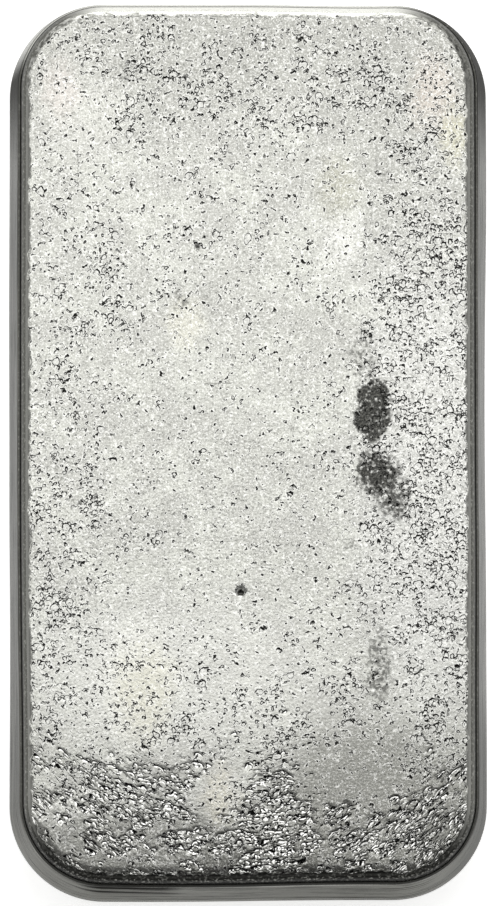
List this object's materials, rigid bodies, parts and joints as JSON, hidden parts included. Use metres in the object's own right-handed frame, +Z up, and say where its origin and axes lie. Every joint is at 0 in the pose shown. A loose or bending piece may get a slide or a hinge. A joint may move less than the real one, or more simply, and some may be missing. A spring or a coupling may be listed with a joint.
{
  "type": "cast silver ingot",
  "caption": "Cast silver ingot: a flat bar with rounded corners, walls drafted for the mould, a round upper edge over a fine crease, and a pitted mould face.",
  "frame": {"origin": "centre of the footprint, on the surface that the ingot lies on", "axes": "+Z up, out of the mould face; +Y along the ingot's length; +X along its width"},
  "size_m": [0.0561, 0.1055, 0.0173],
  "materials": {
    "cast_silver": "satin"
  },
  "bodies": {
    "root": {"ingot": "cast_silver"}
  },
  "joints": []
}
